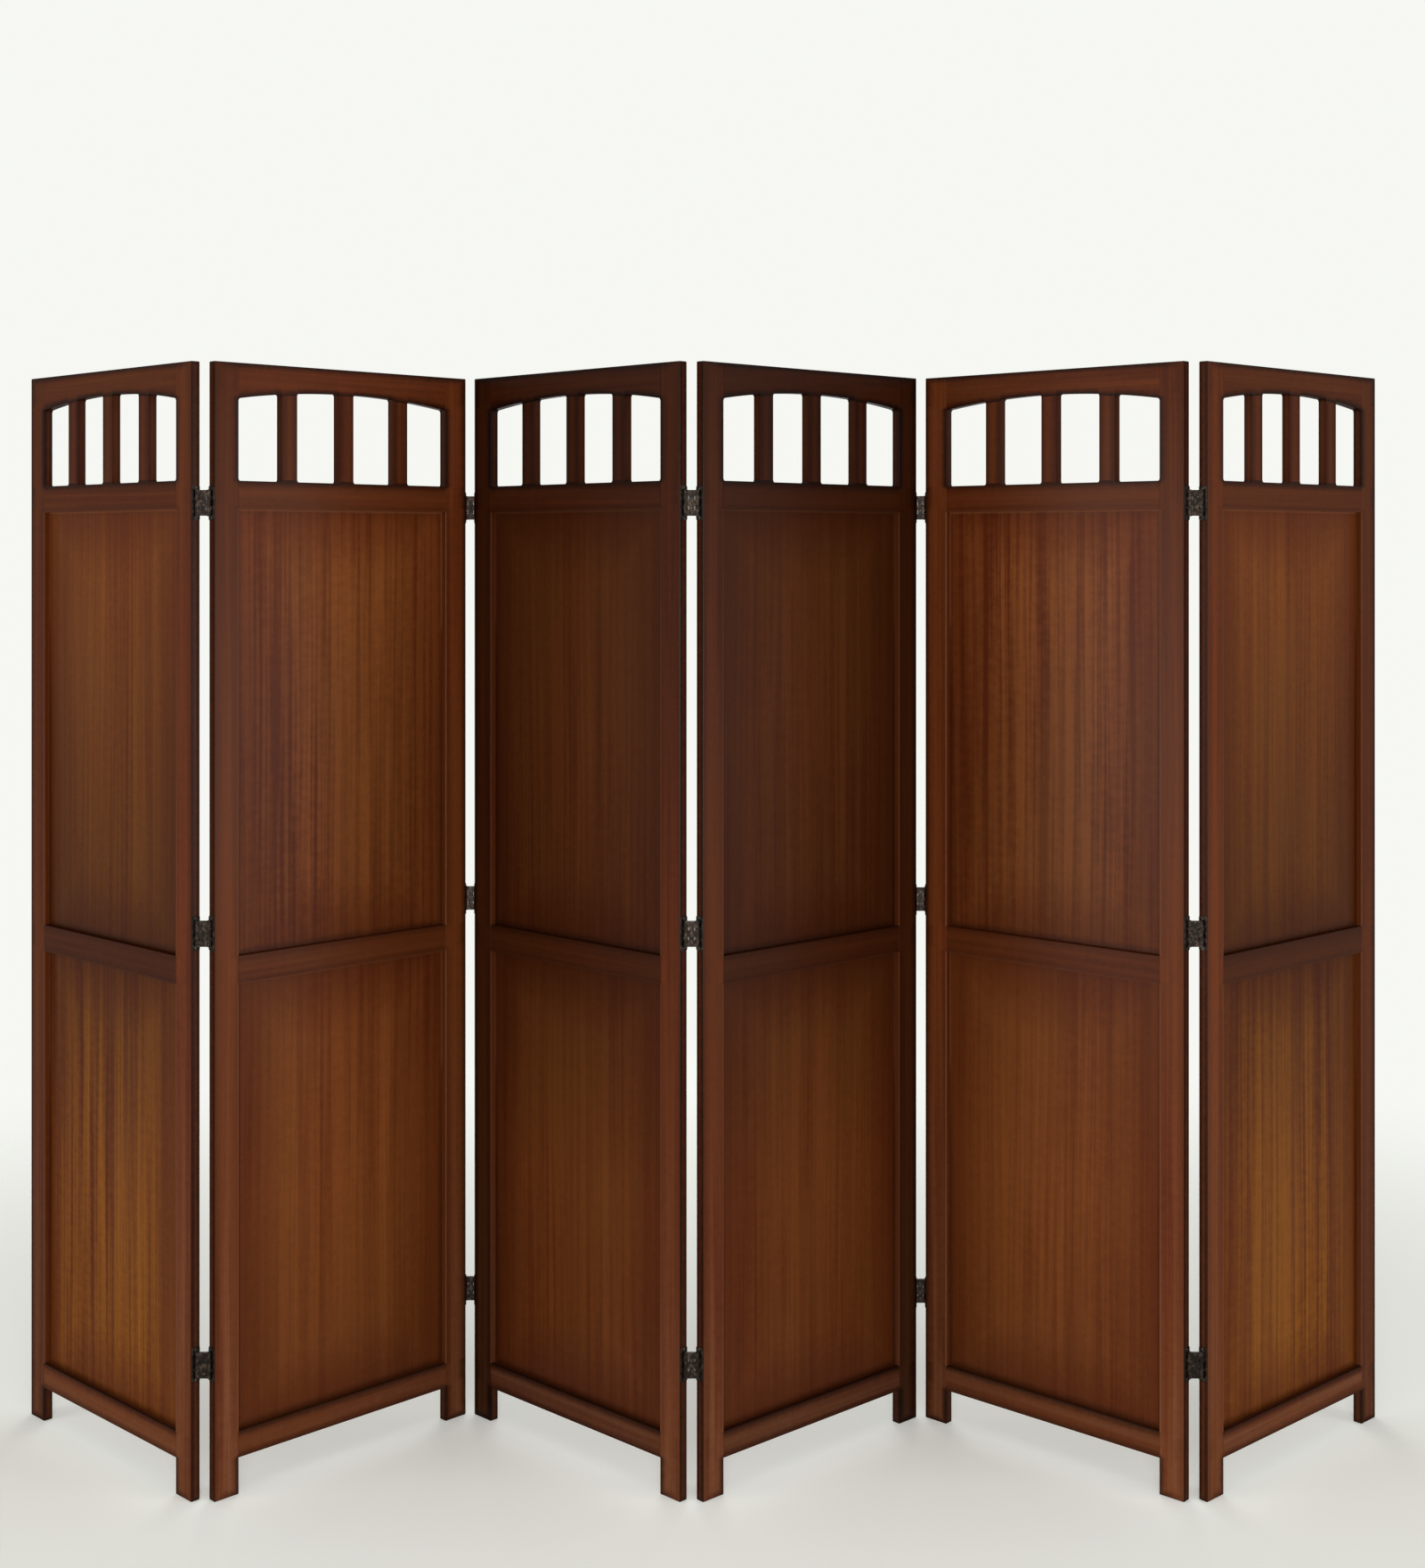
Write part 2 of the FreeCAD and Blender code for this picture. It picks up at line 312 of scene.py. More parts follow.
@dataclass(frozen=True)
class Noise:
    """A random pattern, mostly from 0.3 to 0.7, with its patches counted for each metre."""

    scale: float = 1.0
    detail: float = 2.0
    rough: float = 0.5
    stretch: Point | None = None
    spread: Limits = (0.3, 0.7)
    swing: float = 0.0

    def lay(self, web: Web, place: Socket) -> Socket:
        """Lay the bare pattern over a place in metres and return its socket."""
        place = web.vector("MULTIPLY", place, self.stretch) if self.stretch else place
        return web.add(
            "TexNoise", Vector=place, Scale=self.scale, Detail=self.detail, Roughness=self.rough
        ).outputs[0]

    def swung(self, web: Web, bare: Socket) -> Socket:
        """Pass smoothly from minus to plus the swing as the bare pattern rises."""
        return web.fade(bare, *self.spread, -self.swing, self.swing)


@dataclass
class Effects:
    """The patterns that more than one finish uses, each built once."""

    sway: Noise = Noise(detail=1.0, stretch=(3.0, 3.0, 1.5))
    sway_reach: float = 12 * MM
    broad: Noise = Noise(detail=0.0, stretch=(46.0, 46.0, 0.4), swing=0.3)
    narrow: Noise = Noise(
        detail=1.0, stretch=(125.0, 125.0, 1.7), spread=(0.32, 0.68), swing=0.45
    )
    mottle: Noise = Noise(rough=0.6, stretch=(55.0, 55.0, 85.0), swing=0.16)
    fine: Noise = Noise(detail=3.0, rough=0.65, stretch=(400.0, 400.0, 6.0), swing=0.35)
    cloud: Noise = Noise(stretch=(6.0, 6.0, 1.6), spread=(0.35, 0.65))
    pore: Noise = Noise(detail=1.0, stretch=(1500.0, 1500.0, 110.0), spread=(0.6, 0.7))
    pored_lines: Limits = (0.62, 0.4)
    line_height: float = 0.35
    ragged: Noise = Noise(scale=90.0, detail=3.0, rough=0.6)
    broad_smudge: Noise = Noise(scale=7.0, detail=4.0, rough=0.62)
    small_smudge: Noise = Noise(scale=38.0, detail=3.0, rough=0.6)
    smudge_spread: Limits = (0.16, 0.36)

    def __post_init__(self) -> None:
        """Build every pattern."""
        self.grain = self.build_grain()
        self.edge = self.build_edge()
        self.handling = self.build_handling()

    def build_grain(self) -> Tree:
        """Build the ribbon grain: broad stripes, fine lines and open pores along a piece.

        Returns:
            A group that takes a place across, through and along the wood, in metres.
        """
        web, taken, given = new_group(
            "ribbon_grain",
            {"Place": ORIGIN, "Stripe": 1.0, "Line": 1.0},
            ("Light", "Warmth", "Pore", "Height"),
        )
        place = taken.outputs["Place"]
        wave = web.maths("SUBTRACT", self.sway.lay(web, place), 0.5)
        sway = web.add("CombineXYZ", X=web.maths("MULTIPLY", wave, self.sway_reach))
        bent = web.vector("ADD", place, sway.outputs[0])
        fine = self.fine.lay(web, bent)
        broad, narrow, mottle = (
            noise.swung(web, noise.lay(web, bent))
            for noise in (self.broad, self.narrow, self.mottle)
        )
        stripe = web.maths("ADD", web.maths("ADD", broad, narrow), mottle)
        stripe = web.maths("MULTIPLY", stripe, taken.outputs["Stripe"])
        line = web.maths("MULTIPLY", self.fine.swung(web, fine), taken.outputs["Line"])
        light = web.maths("ADD", web.maths("ADD", stripe, line), 0.5, clamp=True)
        cloud = web.fade(self.cloud.lay(web, bent), *self.cloud.spread)
        pore = web.fade(self.pore.lay(web, bent), *self.pore.spread)
        pores = web.maths("MULTIPLY", pore, web.fade(fine, *self.pored_lines))
        height = web.maths("SUBTRACT", web.maths("MULTIPLY", fine, self.line_height), pores)
        web.feed_all(given, {"Light": light, "Warmth": cloud, "Pore": pores, "Height": height})
        return web.tree

    def build_edge(self) -> Tree:
        """Build the mask of what lies close to a piece's free edges.

        Returns:
            A group that takes the place across a piece, from -1 to 1 on each axis, and half the
            piece's size in metres. The middle one of the three distances is the one to the edge.
        """
        web, taken, given = new_group(
            "free_edge_mask",
            {
                "Across": ORIGIN, "Half size": (1.0, 1.0, 1.0), "Place": ORIGIN,
                "Width": 3 * MM, "Ragged": 1 * MM,
            },
            ("Edge",),
        )
        across = web.vector("ABSOLUTE", taken.outputs["Across"])
        inward = web.vector("SUBTRACT", (1.0, 1.0, 1.0), across)
        gaps = web.vector("MULTIPLY", inward, taken.outputs["Half size"])
        x, y, z = web.add("SeparateXYZ", Vector=gaps).outputs
        nearer = web.maths("MINIMUM", x, y)
        farther = web.maths("MAXIMUM", x, y)
        gap = web.maths("MAXIMUM", nearer, web.maths("MINIMUM", farther, z))
        wobble = web.maths("SUBTRACT", self.ragged.lay(web, taken.outputs["Place"]), 0.5)
        gap = web.maths("ADD", gap, web.maths("MULTIPLY", wobble, taken.outputs["Ragged"]))
        web.feed_all(given, {"Edge": web.fade(gap, taken.outputs["Width"], 0.0)})
        return web.tree

    def build_handling(self) -> Tree:
        """Build the marks of use: dull smudges.

        Returns:
            A group that takes a place in metres.
        """
        web, taken, given = new_group("handling", {"Place": ORIGIN}, ("Smudge",))
        broad, small = (
            noise.lay(web, taken.outputs["Place"])
            for noise in (self.broad_smudge, self.small_smudge)
        )
        smudge = web.maths("MULTIPLY", broad, small)
        web.feed_all(given, {"Smudge": web.fade(smudge, *self.smudge_spread)})
        return web.tree


# Finishes

@dataclass(frozen=True)
class Band:
    """A strip of another colour along a piece's free edges."""

    colour: Colour
    width: float
    strength: float


@dataclass(frozen=True)
class WoodFinish:
    """A stained and lacquered finish over ribbon-striped wood."""

    name: str
    slot: str
    light: Colour
    gold_and_sheen: Colour
    dark: Colour
    warm: Colour
    rim: Band
    edge: Band
    arris_highlight: Band
    stripe: float
    line: float
    warm_share: float = 0.4
    pore_share: float = 0.35
    arris_highlight_fade: Limits = (0.3, 0.1)
    raggedness: float = 0.4
    gloss_roughness: float = 0.36
    pore_roughness: float = 0.2
    smudge_roughness: float = 0.12
    bump_depth: float = 0.12 * MM
    bump_strength: float = 0.55
    lacquer: float = 0.15
    lacquer_roughness: float = 0.32

    def dress(self, effects: Effects) -> Material:
        """Build the finish's material.

        Args:
            effects: The shared patterns.

        Returns:
            The material, which reads the attributes that every wooden piece carries.
        """
        material, web = new_material(self.name)
        figure = web.reading("figure")
        grain = web.add(
            "Group", effects.grain,
            Place=web.reading("grain_place", "Vector"),
            Stripe=web.maths("MULTIPLY", figure, self.stripe),
            Line=web.maths("MULTIPLY", figure, self.line),
        )
        place = web.add("TexCoord").outputs["Object"]
        handling = web.add("Group", effects.handling, Place=place)
        pore = grain.outputs["Pore"]
        roughness = web.maths(
            "ADD", web.maths("MULTIPLY", pore, self.pore_roughness), self.gloss_roughness
        )
        smudge = web.maths("MULTIPLY", handling.outputs["Smudge"], self.smudge_roughness)
        bump = web.add(
            "Bump", Height=grain.outputs["Height"],
            Distance=self.bump_depth, Strength=self.bump_strength,
        )
        surface = web.add(
            "BsdfPrincipled",
            Base_Color=self.colour(web, effects, grain),
            Roughness=web.maths("ADD", roughness, smudge),
            Normal=bump.outputs[0],
            Specular_IOR_Level=0.0,
            Coat_Weight=self.lacquer,
            Coat_Roughness=self.lacquer_roughness,
        )
        web.add("OutputMaterial", Surface=surface.outputs[0])
        return material

    def colour(self, web: Web, effects: Effects, grain: Node) -> Socket:
        """Lay the stain's colours over each other, from the grain up to the painted highlight on
        the arrises, then multiply in the tone's painted light and shade.

        Args:
            web: The material's web.
            effects: The shared patterns.
            grain: The grain's node.

        Returns:
            The colour's socket.
        """
        def near_edge(width: float) -> Socket:
            """Mask what lies nearer than a width to the free edges."""
            return web.add(
                "Group", effects.edge,
                Across=web.reading("across", "Vector"),
                Half_size=web.reading("half_size", "Vector"),
                Place=web.reading("grain_place", "Vector"),
                Width=width,
                Ragged=width * self.raggedness,
            ).outputs["Edge"]

        burnished_and_shaded = web.reading("burnished_and_shaded")
        rim, edge, arris_highlight = (near_edge(band.width) for band in (self.rim, self.edge, self.arris_highlight))
        # The dark edge band is burnish, and partly painted shade in the recesses beside the boards.
        edge = web.maths("MULTIPLY", edge, burnished_and_shaded)
        # A painted highlight along the arrises, where the edges are little darkened.
        arris_highlight = web.maths("MULTIPLY", arris_highlight, web.fade(burnished_and_shaded, *self.arris_highlight_fade))
        # The light wood turns golden on the boards and, on the frame, towards a painted sheen of
        # hazy reflection at the foot.
        lighter = web.mixed(web.reading("gold_and_sheen_share"), self.light, self.gold_and_sheen)
        colour = web.mixed(grain.outputs["Light"], self.dark, lighter)
        for mask, strength, layer in (
            (grain.outputs["Warmth"], self.warm_share, self.warm),
            (rim, self.rim.strength, self.rim.colour),
            (grain.outputs["Pore"], self.pore_share, self.edge.colour),
            (edge, self.edge.strength, self.edge.colour),
            (arris_highlight, self.arris_highlight.strength, self.arris_highlight.colour),
        ):
            colour = web.mixed(web.maths("MULTIPLY", mask, strength), colour, layer)
        # The tone multiplies in painted light and shade as well as each piece's own tone.
        tone_and_shading = web.reading("tone_and_shading")
        shade = web.add("CombineXYZ", X=tone_and_shading, Y=tone_and_shading, Z=tone_and_shading)
        return web.mixed(1.0, colour, shade.outputs[0], "MULTIPLY")


@dataclass(frozen=True)
class MetalFinish:
    """A dark bronzed finish that is brighter in patches, partly rubbed wear and partly painted
    glints.
    """

    name: str
    slot: str
    base: Colour
    rubbed_and_glint: Colour
    roughness: float
    patch: Noise = Noise(scale=160.0, detail=4.0, rough=0.6, spread=(0.45, 0.68))
    grit: Noise = Noise(scale=1800.0)
    smudge_roughness: float = 0.15
    bump_depth: float = 0.1 * MM
    bump_strength: float = 0.4
    metallic: float = 0.85

    def dress(self, effects: Effects) -> Material:
        """Build the finish's material.

        Args:
            effects: The shared patterns.

        Returns:
            The material, on the object's own coordinates.
        """
        material, web = new_material(self.name)
        place = web.add("TexCoord").outputs["Object"]
        handling = web.add("Group", effects.handling, Place=place)
        smudge = web.maths("MULTIPLY", handling.outputs["Smudge"], self.smudge_roughness)
        # Brighter patches: partly rubbed metal, partly painted glints.
        patch = web.fade(self.patch.lay(web, place), *self.patch.spread)
        bump = web.add(
            "Bump", Height=self.grit.lay(web, place),
            Distance=self.bump_depth, Strength=self.bump_strength,
        )
        surface = web.add(
            "BsdfPrincipled",
            Base_Color=web.mixed(patch, self.base, self.rubbed_and_glint),
            Roughness=web.maths("ADD", smudge, self.roughness),
            Normal=bump.outputs[0],
            Metallic=self.metallic,
        )
        web.add("OutputMaterial", Surface=surface.outputs[0])
        return material


# The colour of a painted highlight along the arrises.
ARRIS_HIGHLIGHT = painted(122, 74, 48)
# The frame's gold colour is a painted sheen, a hazy reflection towards the foot; its dark edge band
# is burnish, and on the bottom rail's upper ledge partly painted shade.
FRAME_WOOD = WoodFinish(
    name="stained_frame_wood", slot="frame_wood",
    light=painted(106, 51, 22), gold_and_sheen=painted(101, 64, 42),
    dark=painted(78, 33, 13), warm=painted(98, 53, 24),
    rim=Band(painted(66, 24, 9), 30 * MM, 0.25),
    edge=Band(painted(22, 6, 2), 14 * MM, 0.88),
    arris_highlight=Band(ARRIS_HIGHLIGHT, 3.5 * MM, 0.55),
    stripe=0.5, line=0.4,
)
# The boards' dark edge band is partly dirt and partly painted shade in the recess; their arris band
# is a painted highlight along the top.
BOARD_WOOD = WoodFinish(
    name="ribbon_striped_board", slot="board_wood",
    light=painted(117, 63, 28), gold_and_sheen=painted(130, 78, 12),
    dark=painted(78, 33, 12), warm=painted(109, 64, 27),
    rim=Band(painted(72, 26, 8), 130 * MM, 0.6),
    edge=Band(painted(34, 11, 4), 14 * MM, 0.7),
    arris_highlight=Band(ARRIS_HIGHLIGHT, 4 * MM, 0.6),
    stripe=0.75, line=0.28,
)
HINGE_METAL = MetalFinish(
    name="bronzed_hinge_metal", slot="hinge_metal",
    base=painted(27, 20, 16), rubbed_and_glint=painted(68, 56, 47), roughness=0.45,
)
SCREW_METAL = MetalFinish(
    name="darkened_screw_steel", slot="screw_metal",
    base=painted(54, 46, 40), rubbed_and_glint=painted(112, 102, 90), roughness=0.4,
)


# Wooden pieces

@dataclass
class Timber:
    """One wooden piece under construction, in its panel's own frame, in metres."""

    name: str
    grain: Grain
    tone_and_shading: Profile
    gold_and_sheen_share: Profile
    figure: float = 1.0
    mesh: bmesh.types.BMesh = field(default_factory=bmesh.new)
    centre: Vector = field(default_factory=Vector)
    half: Vector = field(default_factory=Vector)

    def block(self, x: Limits, y: Limits, z: Limits) -> None:
        """Start from a block.

        Args:
            x: Its two ends along the panel.
            y: Its front and back.
            z: Its foot and top.
        """
        low, high = (Vector(corner) for corner in zip(x, y, z))
        self.centre = (low + high) / 2
        self.half = (high - low) / 2
        bmesh.ops.create_cube(self.mesh, size=1)
        bmesh.ops.scale(self.mesh, vec=high - low, verts=self.mesh.verts)
        bmesh.ops.translate(self.mesh, vec=self.centre, verts=self.mesh.verts)

    def cut_across(self, axis: int, places: list[float]) -> None:
        """Cut the faces along planes, without opening the piece.

        Args:
            axis: 0 for planes across x, or 2 for planes across z.
            places: Where the planes are.
        """
        normal = Vector((0, 0, 0))
        normal[axis] = 1
        for place in sorted(set(places)):
            bmesh.ops.bisect_plane(
                self.mesh, geom=[*self.mesh.verts, *self.mesh.edges, *self.mesh.faces],
                plane_co=normal * place, plane_no=normal, dist=SAME_PLACE / 10,
            )

    def raise_edge(self, level: float, height: Profile) -> None:
        """Move the vertices at one level to the heights of a curve along the panel.

        Args:
            level: The level where the vertices are.
            height: The new height for each place along the panel.
        """
        for vertex in self.mesh.verts:
            if abs(vertex.co.z - level) < SAME_PLACE:
                vertex.co.z = height(vertex.co.x)

    def round_edges(
        self, radius: float, chosen: Callable[[Edge], bool], segments: int = 3
    ) -> None:
        """Round the piece's sharp edges that pass a test.

        Args:
            radius: How wide the rounding is.
            chosen: The test.
            segments: How many faces the rounding has.
        """
        sharp = [
            edge for edge in self.mesh.edges
            if edge.is_manifold and edge.calc_face_angle(0.0) > SHARP_TURN and chosen(edge)
        ]
        bmesh.ops.bevel(
            self.mesh, geom=sharp, offset=radius, offset_type="OFFSET", segments=segments,
            profile=0.5, affect="EDGES", clamp_overlap=True, material=-1,
        )

    def mark(
        self, ease: Ease | None = None, burnish_and_shade: BurnishAndShade | None = None, sides: Profile | None = None
    ) -> None:
        """Write the attributes that the wood finishes read.

        Args:
            ease: Changes the place across the piece, to say that an edge isn't free there.
            burnish_and_shade: How darkly the edges near a place are burnished, from 0 to 1; in the
                recesses beside the boards this is partly painted shade.
            sides: The tone, with its painted light and shade, at each height of the faces that look
                along the panel, if it differs.
        """
        layers = self.mesh.verts.layers
        across, half_size, grain_place = (
            layers.float_vector.new(name) for name in ("across", "half_size", "grain_place")
        )
        tone_and_shading, burnished_and_shaded, gold_and_sheen_share, figure = (
            layers.float.new(name) for name in ("tone_and_shading", "burnished_and_shaded", "gold_and_sheen_share", "figure")
        )
        seed = zlib.crc32(self.name.encode())
        start = Vector([seed % count * step for count, step in GRAIN_STARTS])
        for vertex in self.mesh.verts:
            offset = vertex.co - self.centre
            share = Vector([offset[i] / self.half[i] for i in range(3)])
            upright = self.grain is Grain.UPRIGHT
            vertex[grain_place] = start + (offset if upright else offset.zyx)
            vertex[across] = ease(share, vertex.co) if ease else share
            vertex[half_size] = self.half
            # Where given, faces that look along the panel take a weaker painted light and shade.
            on_side = abs(share.x) > IN_FACE and abs(share.y) < IN_FACE
            vertex[tone_and_shading] = (sides if sides and on_side else self.tone_and_shading)(vertex.co.z)
            vertex[burnished_and_shaded] = burnish_and_shade(share, vertex.co) if burnish_and_shade else 1.0
            vertex[gold_and_sheen_share] = self.gold_and_sheen_share(vertex.co.z)
            vertex[figure] = self.figure

    def mirror(self, space: Matrix) -> None:
        """Mirror the piece along x, about the place that a matrix moves to the origin."""
        bmesh.ops.scale(self.mesh, vec=(-1, 1, 1), space=space, verts=self.mesh.verts)
        bmesh.ops.recalc_face_normals(self.mesh, faces=self.mesh.faces)


@dataclass(frozen=True)
class PanelSizes:
    """The sizes that all six panels share, in metres."""

    width: float = 500 * MM
    thickness: float = 16 * MM
    stile_width: float = 44 * MM
    foot_height: float = 58 * MM
    bottom_rail_height: float = 42 * MM
    board_height: float = 711 * MM
    middle_rail_height: float = 45 * MM
    grille_rail_height: float = 45 * MM
    window_side_height: float = 131 * MM
    top_rail_end_height: float = 57 * MM
    arch_rise: float = 16.5 * MM
    arch_cuts: Levels = (0.3, 0.5, 0.7)
    slat_width: float = 29 * MM
    slat_count: int = 3
    slat_step: float = 0.08 * MM
    slat_joint: float = 1.5 * MM
    board_thickness: float = 3 * MM
    board_recess: float = 10.5 * MM
    board_tongue: float = 8 * MM
    board_round: float = 0.3 * MM
    board_bands: int = 4
    outer_round: float = 1.5 * MM
    inner_round: float = 0.7 * MM
    window_corner: float = 3 * MM
    corner_steps: int = 5
    burnish_end: float = 8 * MM
    pin_offset: float = 5.6 * MM

    @property
    def inner(self) -> Limits:
        """Where the opening between the stiles starts and ends."""
        return self.stile_width, self.width - self.stile_width

    @property
    def faces(self) -> Limits:
        """The front and the back of the frame."""
        return -self.thickness / 2, self.thickness / 2

    @property
    def bottom_rail(self) -> Limits:
        """The bottom rail's lower and upper edge."""
        return self.foot_height, self.foot_height + self.bottom_rail_height

    @property
    def middle_rail(self) -> Limits:
        """The middle rail's lower and upper edge."""
        low = self.bottom_rail[1] + self.board_height
        return low, low + self.middle_rail_height

    @property
    def grille_rail(self) -> Limits:
        """The lower and upper edge of the rail under the windows."""
        low = self.middle_rail[1] + self.board_height
        return low, low + self.grille_rail_height

    @property
    def arch_spring(self) -> float:
        """The height where the arch starts at the stiles."""
        return self.grille_rail[1] + self.window_side_height

    @property
    def top(self) -> float:
        """The height of the panel."""
        return self.arch_spring + self.top_rail_end_height

    @property
    def slats(self) -> list[Limits]:
        """The left and right side of each slat."""
        start, end = self.inner
        gap = (end - start - self.slat_count * self.slat_width) / (self.slat_count + 1)
        lefts = [start + gap + i * (gap + self.slat_width) for i in range(self.slat_count)]
        return [(left, left + self.slat_width) for left in lefts]

    @property
    def windows(self) -> list[Limits]:
        """The left and right side of each window."""
        start, end = self.inner
        lefts = [start] + [slat[1] for slat in self.slats]
        rights = [slat[0] for slat in self.slats] + [end]
        return list(zip(lefts, rights))

    def arch(self, x: float) -> float:
        """Return the height of the arch at a place.

        Args:
            x: The place along the panel.

        Returns:
            The height there, on a circle through the two springs and the crown.
        """
        half = (self.inner[1] - self.inner[0]) / 2
        radius = (half ** 2 + self.arch_rise ** 2) / (2 * self.arch_rise)
        crown = self.arch_spring + self.arch_rise
        return crown - radius + math.sqrt(radius ** 2 - (x - self.width / 2) ** 2)

    def corner_fill(self, x: float) -> float:
        """Return how far a rounded window corner stands out from its rail at a place.

        Args:
            x: The place along the panel.

        Returns:
            The height of the rounding: 0 in the middle of a window, and the whole corner where
            a slat goes on from it.
        """
        for left, right in self.windows:
            if left < x < right:
                reach = max(self.window_corner - min(x - left, right - x), 0.0)
                return self.window_corner - math.sqrt(self.window_corner ** 2 - reach ** 2)
        return self.window_corner

    def window_columns(self) -> list[float]:
        """Say where a rail is cut so that the arch and the window corners come out round.

        Returns:
            The places along the panel.
        """
        quarters = [step / self.corner_steps * math.pi / 2 for step in range(self.corner_steps + 1)]
        columns = []
        for left, right in self.windows:
            for angle in quarters:
                into = self.window_corner * (1 - math.cos(angle))
                columns += [left + into, right - into]
            columns += [left + (right - left) * share for share in self.arch_cuts]
        start, end = self.inner
        return [x for x in columns if start + SAME_PLACE < x < end - SAME_PLACE]


@dataclass(frozen=True)
class PanelBurnishAndShade:
    """How darkly the edges of a panel's pieces are burnished, from 0 to 1. Where a board meets the
    bottom rail, the dark band is partly dirt and partly painted shade in the recess.
    """

    free: float = 1.0
    towards_room: float = 0.25
    beside_board: float = 0.1
    slat: float = 0.6
    bottom_rail: Limits = (0.7, 0.9)
    middle_rail: Limits = (0.2, 0.4)
    grille_rail: Limits = (0.2, 0.9)
    board: Limits = (0.75, 0.15)
    # Where a rail is joined on, a stile's inner edge counts as no nearer than this share.
    joined: float = 0.4


@dataclass(frozen=True)
class PanelLook:
    """The tones of one panel's wood, from the foot up, where 1 is the finish's own. They are mostly
    painted light and shade: darker panels, tops and stiles where less light falls.
    """

    frame: Limits
    gold_and_sheen_share: Limits
    figure: Limits
    boards: tuple[Levels, Levels]
    stiles: tuple[Limits, Limits]

    @property
    def middle_rail(self) -> float:
        """The middle rail's tone, which is darker than those of the boards beside it: painted
        shade.
        """
        return 0.4 * (self.boards[0][-1] + self.boards[1][0])


@dataclass
class Panel:
    """One framed panel: two stiles, four rails, three slats and two boards."""

    number: int
    place: Matrix
    look: PanelLook
    sizes: PanelSizes
    materials: dict[WoodFinish, Material]
    burnish_and_shade: PanelBurnishAndShade = PanelBurnishAndShade()

    @property
    def body(self) -> str:
        """The name of the body that the panel's pieces ride on."""
        return f"panel_{self.number}"

    def tone_and_shading_at(self, height: float) -> float:
        """Return the frame's tone at a height, between those at the foot and the top; it is mostly
        painted light and shade.
        """
        return between(self.look.frame, height / self.sizes.top)

    def side_shading(self, height: float) -> float:
        """Return the painted light and shade at a height on the faces that look along the panel,
        half as strong as on the front.
        """
        return (1 + self.tone_and_shading_at(height)) / 2

    def gold_at(self, height: float) -> float:
        """Return how golden the boards are at a height."""
        return between(self.look.gold_and_sheen_share, height / self.sizes.top)

    def sheen_at(self, height: float) -> float:
        """Return how much painted sheen, a hazy reflection, the frame takes at a height, from 1 at
        the foot.
        """
        return max(1 - height / self.sizes.middle_rail[1], 0.0)

    def piece(
        self, name: str, grain: Grain, tone_and_shading: Profile | None = None, gold_and_sheen_share: Profile | None = None
    ) -> Timber:
        """Start a wooden piece whose tone differs a little from its neighbours'.

        Args:
            name: The piece's name, without the panel's.
            grain: The way that its grain runs.
            tone_and_shading: Its tone at each height, painted light and shade included, if it isn't
                the frame's.
            gold_and_sheen_share: How golden it is at each height, if it doesn't take the frame's
                painted sheen.

        Returns:
            The piece, still without a shape.
        """
        full_name = f"{self.body}_{name}"
        chance = zlib.crc32(full_name.encode()) % (TONE_STEPS + 1) / TONE_STEPS - 0.5
        share = 1 + chance * TONE_SPREAD
        base = tone_and_shading or self.tone_and_shading_at
        return Timber(full_name, grain, lambda height: share * base(height), gold_and_sheen_share or self.sheen_at)

    def stand(self, timber: Timber, node: str, finish: WoodFinish) -> None:
        """Stand a piece, with smooth roundings and crisp flats, on the body for its node.

        Args:
            timber: The shaped and marked piece.
            node: What it stands for, without the panel's name.
            finish: The finish that it wears.
        """
        mesh = timber.mesh
        bmesh.ops.transform(mesh, matrix=self.place, verts=mesh.verts)
        for edge in mesh.edges:
            edge.smooth = edge.calc_face_angle(0.0) < SHARP_TURN
        data = bpy.data.meshes.new(timber.name)
        mesh.to_mesh(data)
        mesh.free()
        data.materials.append(self.materials[finish])
        data.polygons.foreach_set("use_smooth", [True] * len(data.polygons))
        piece = add_object(timber.name, data)
        crisp = piece.modifiers.new("crisp_flats", "WEIGHTED_NORMAL")
        crisp.keep_sharp = True
        crisp.weight = 100
        crisp.thresh = 0.0
        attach(piece, self.body)
        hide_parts(f"{self.body}_{node}")
        LOG.info("%s stands on %s", piece.name, self.body)

    def stile(self, side: Side) -> None:
        """Build one stile, burnished along its outer edge and beside the windows.

        Args:
            side: Which of the two it is.
        """
        s = self.sizes
        # Each stile's own tone from the foot up, which is mostly painted light and shade.
        own = self.look.stiles[1 if side is Side.RIGHT else 0]
        towards_room = (side is Side.RIGHT) == (self.number % 2 == 1)
        timber = self.piece(
            f"{side.value}_stile", Grain.UPRIGHT,
            tone_and_shading=lambda height: self.tone_and_shading_at(height) * between(own, height / s.top),
        )
        timber.block((0, s.stile_width), s.faces, (0, s.top))
        middle = s.stile_width / 2
        timber.round_edges(
            s.outer_round,
            lambda edge: all(v.co.x < middle for v in edge.verts)
            or abs(edge.verts[0].co.z - edge.verts[1].co.z) < middle,
        )
        timber.round_edges(
            s.inner_round,
            lambda edge: edge.calc_length() > s.board_height
            and all(v.co.x > s.stile_width - SAME_PLACE for v in edge.verts),
        )
        rails = [s.bottom_rail, s.middle_rail, s.grille_rail]
        end = s.burnish_end
        cuts = [z for low, high in rails for z in (low, low + end, high - end, high)]
        timber.cut_across(2, [*cuts, s.arch_spring, s.arch_spring + end])
        joints = [*rails, (s.arch_spring, math.inf)]

        def ease(share: Vector, at: Vector) -> Vector:
            """Say that the inner edge isn't free where a rail is joined on."""
            joined = any(low + end / 2 < at.z < high - end / 2 for low, high in joints)
            return Vector((min(share.x, self.burnish_and_shade.joined), *share.yz)) if joined else share

        def burnish_and_shade(share: Vector, at: Vector) -> float:
            """Burnish the outer edge and the windows' edges, but not those beside the boards."""
            beside_board = s.bottom_rail[1] - MM < at.z < s.grille_rail[0] + MM
            if share.x < 0 and towards_room and abs(share.y) > IN_FACE:
                return self.burnish_and_shade.towards_room
            return self.burnish_and_shade.beside_board if share.x > 0 and beside_board else self.burnish_and_shade.free

